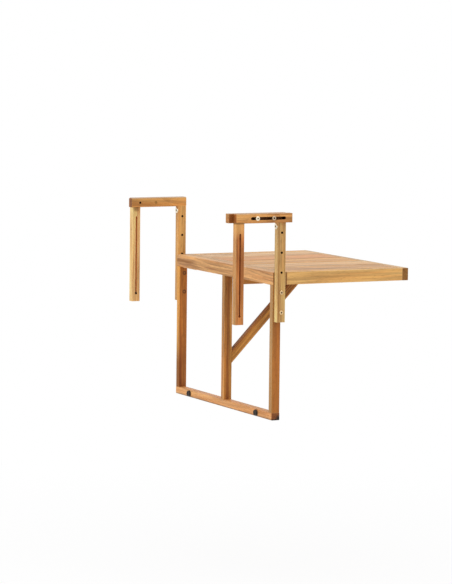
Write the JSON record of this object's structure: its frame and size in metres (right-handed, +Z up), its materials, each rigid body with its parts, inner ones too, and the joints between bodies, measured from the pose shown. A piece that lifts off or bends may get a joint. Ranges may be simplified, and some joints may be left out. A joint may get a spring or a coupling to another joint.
{
  "type": "rail-hung folding balcony table",
  "caption": "Folding wooden balcony table: slatted leaf on a hinged back frame with a diagonal strut, hung over a railing by sliding hooks.",
  "frame": {"origin": "midway between the two hooks, at the underside of the arms that rest on the railing, in the plane of the back frame's railing side", "axes": "+X along the railing, +Y away from the railing towards the leaf, +Z up"},
  "size_m": [0.6854, 0.558, 0.5605],
  "materials": {
    "frame_wood": "oiled",
    "hook_wood": "oiled",
    "arm_wood": "oiled",
    "leaf_wood": "oiled",
    "slat_wood": "oiled",
    "dowel_wood": "plain",
    "zinc_steel": "zinc plated",
    "insert_brass": "plain",
    "rubber": "matte"
  },
  "bodies": {
    "back_frame": {"top_rail": "frame_wood", "bottom_rail": "frame_wood", "post_left": "frame_wood", "post_centre": "frame_wood", "post_right": "frame_wood", "frame_dowels": "dowel_wood", "upright_left": "hook_wood", "upright_right": "hook_wood", "fixed_arm_left": "arm_wood", "fixed_arm_right": "arm_wood", "upright_bolts": "zinc_steel", "upright_inserts": "insert_brass", "arm_bolts": "zinc_steel", "arm_inserts": "insert_brass", "stop_bolts": "zinc_steel", "bumpers": "rubber", "bumper_screws": "zinc_steel", "hinge_frame_plates": "zinc_steel"},
    "leaf": {"inner_board": "leaf_wood", "outer_board": "leaf_wood", "side_board_left": "leaf_wood", "side_board_right": "leaf_wood", "slat_1": "slat_wood", "slat_2": "slat_wood", "slat_3": "slat_wood", "slat_4": "slat_wood", "slat_5": "slat_wood", "ledger_inner": "frame_wood", "ledger_outer": "frame_wood", "rib_left": "frame_wood", "rib_right": "frame_wood", "leaf_dowels": "dowel_wood", "hinge_leaf_plates": "zinc_steel", "hinge_pins": "zinc_steel", "pivot_bolt": "zinc_steel", "pivot_nut": "zinc_steel"},
    "strut": {"strut": "frame_wood"},
    "hook_left": {"slotted_arm_left": "arm_wood", "hook_leg_left": "hook_wood"},
    "hook_right": {"slotted_arm_right": "arm_wood", "hook_leg_right": "hook_wood"}
  },
  "joints": [
    {"name": "leaf_fold", "type": "hinge", "parent": "back_frame", "child": "leaf", "pos_m": [0, 0.0245, -0.1735], "axis": [-1, 0, 0], "range_deg": [0, 84]},
    {"name": "strut_swing", "type": "hinge", "parent": "leaf", "child": "strut", "pos_m": [0, 0.2315, -0.182], "axis": [1, 0, 0], "range_deg": [0, 128]},
    {"name": "left_hook_slide", "type": "slide", "parent": "back_frame", "child": "hook_left", "axis": [0, 1, 0], "range_m": [-0.032, 0.016]},
    {"name": "right_hook_slide", "type": "slide", "parent": "back_frame", "child": "hook_right", "axis": [0, 1, 0], "range_m": [-0.032, 0.016]}
  ],
  "couplings": [
    {"joint": "strut_swing", "follows": "leaf_fold", "ratio": 1.52}
  ]
}
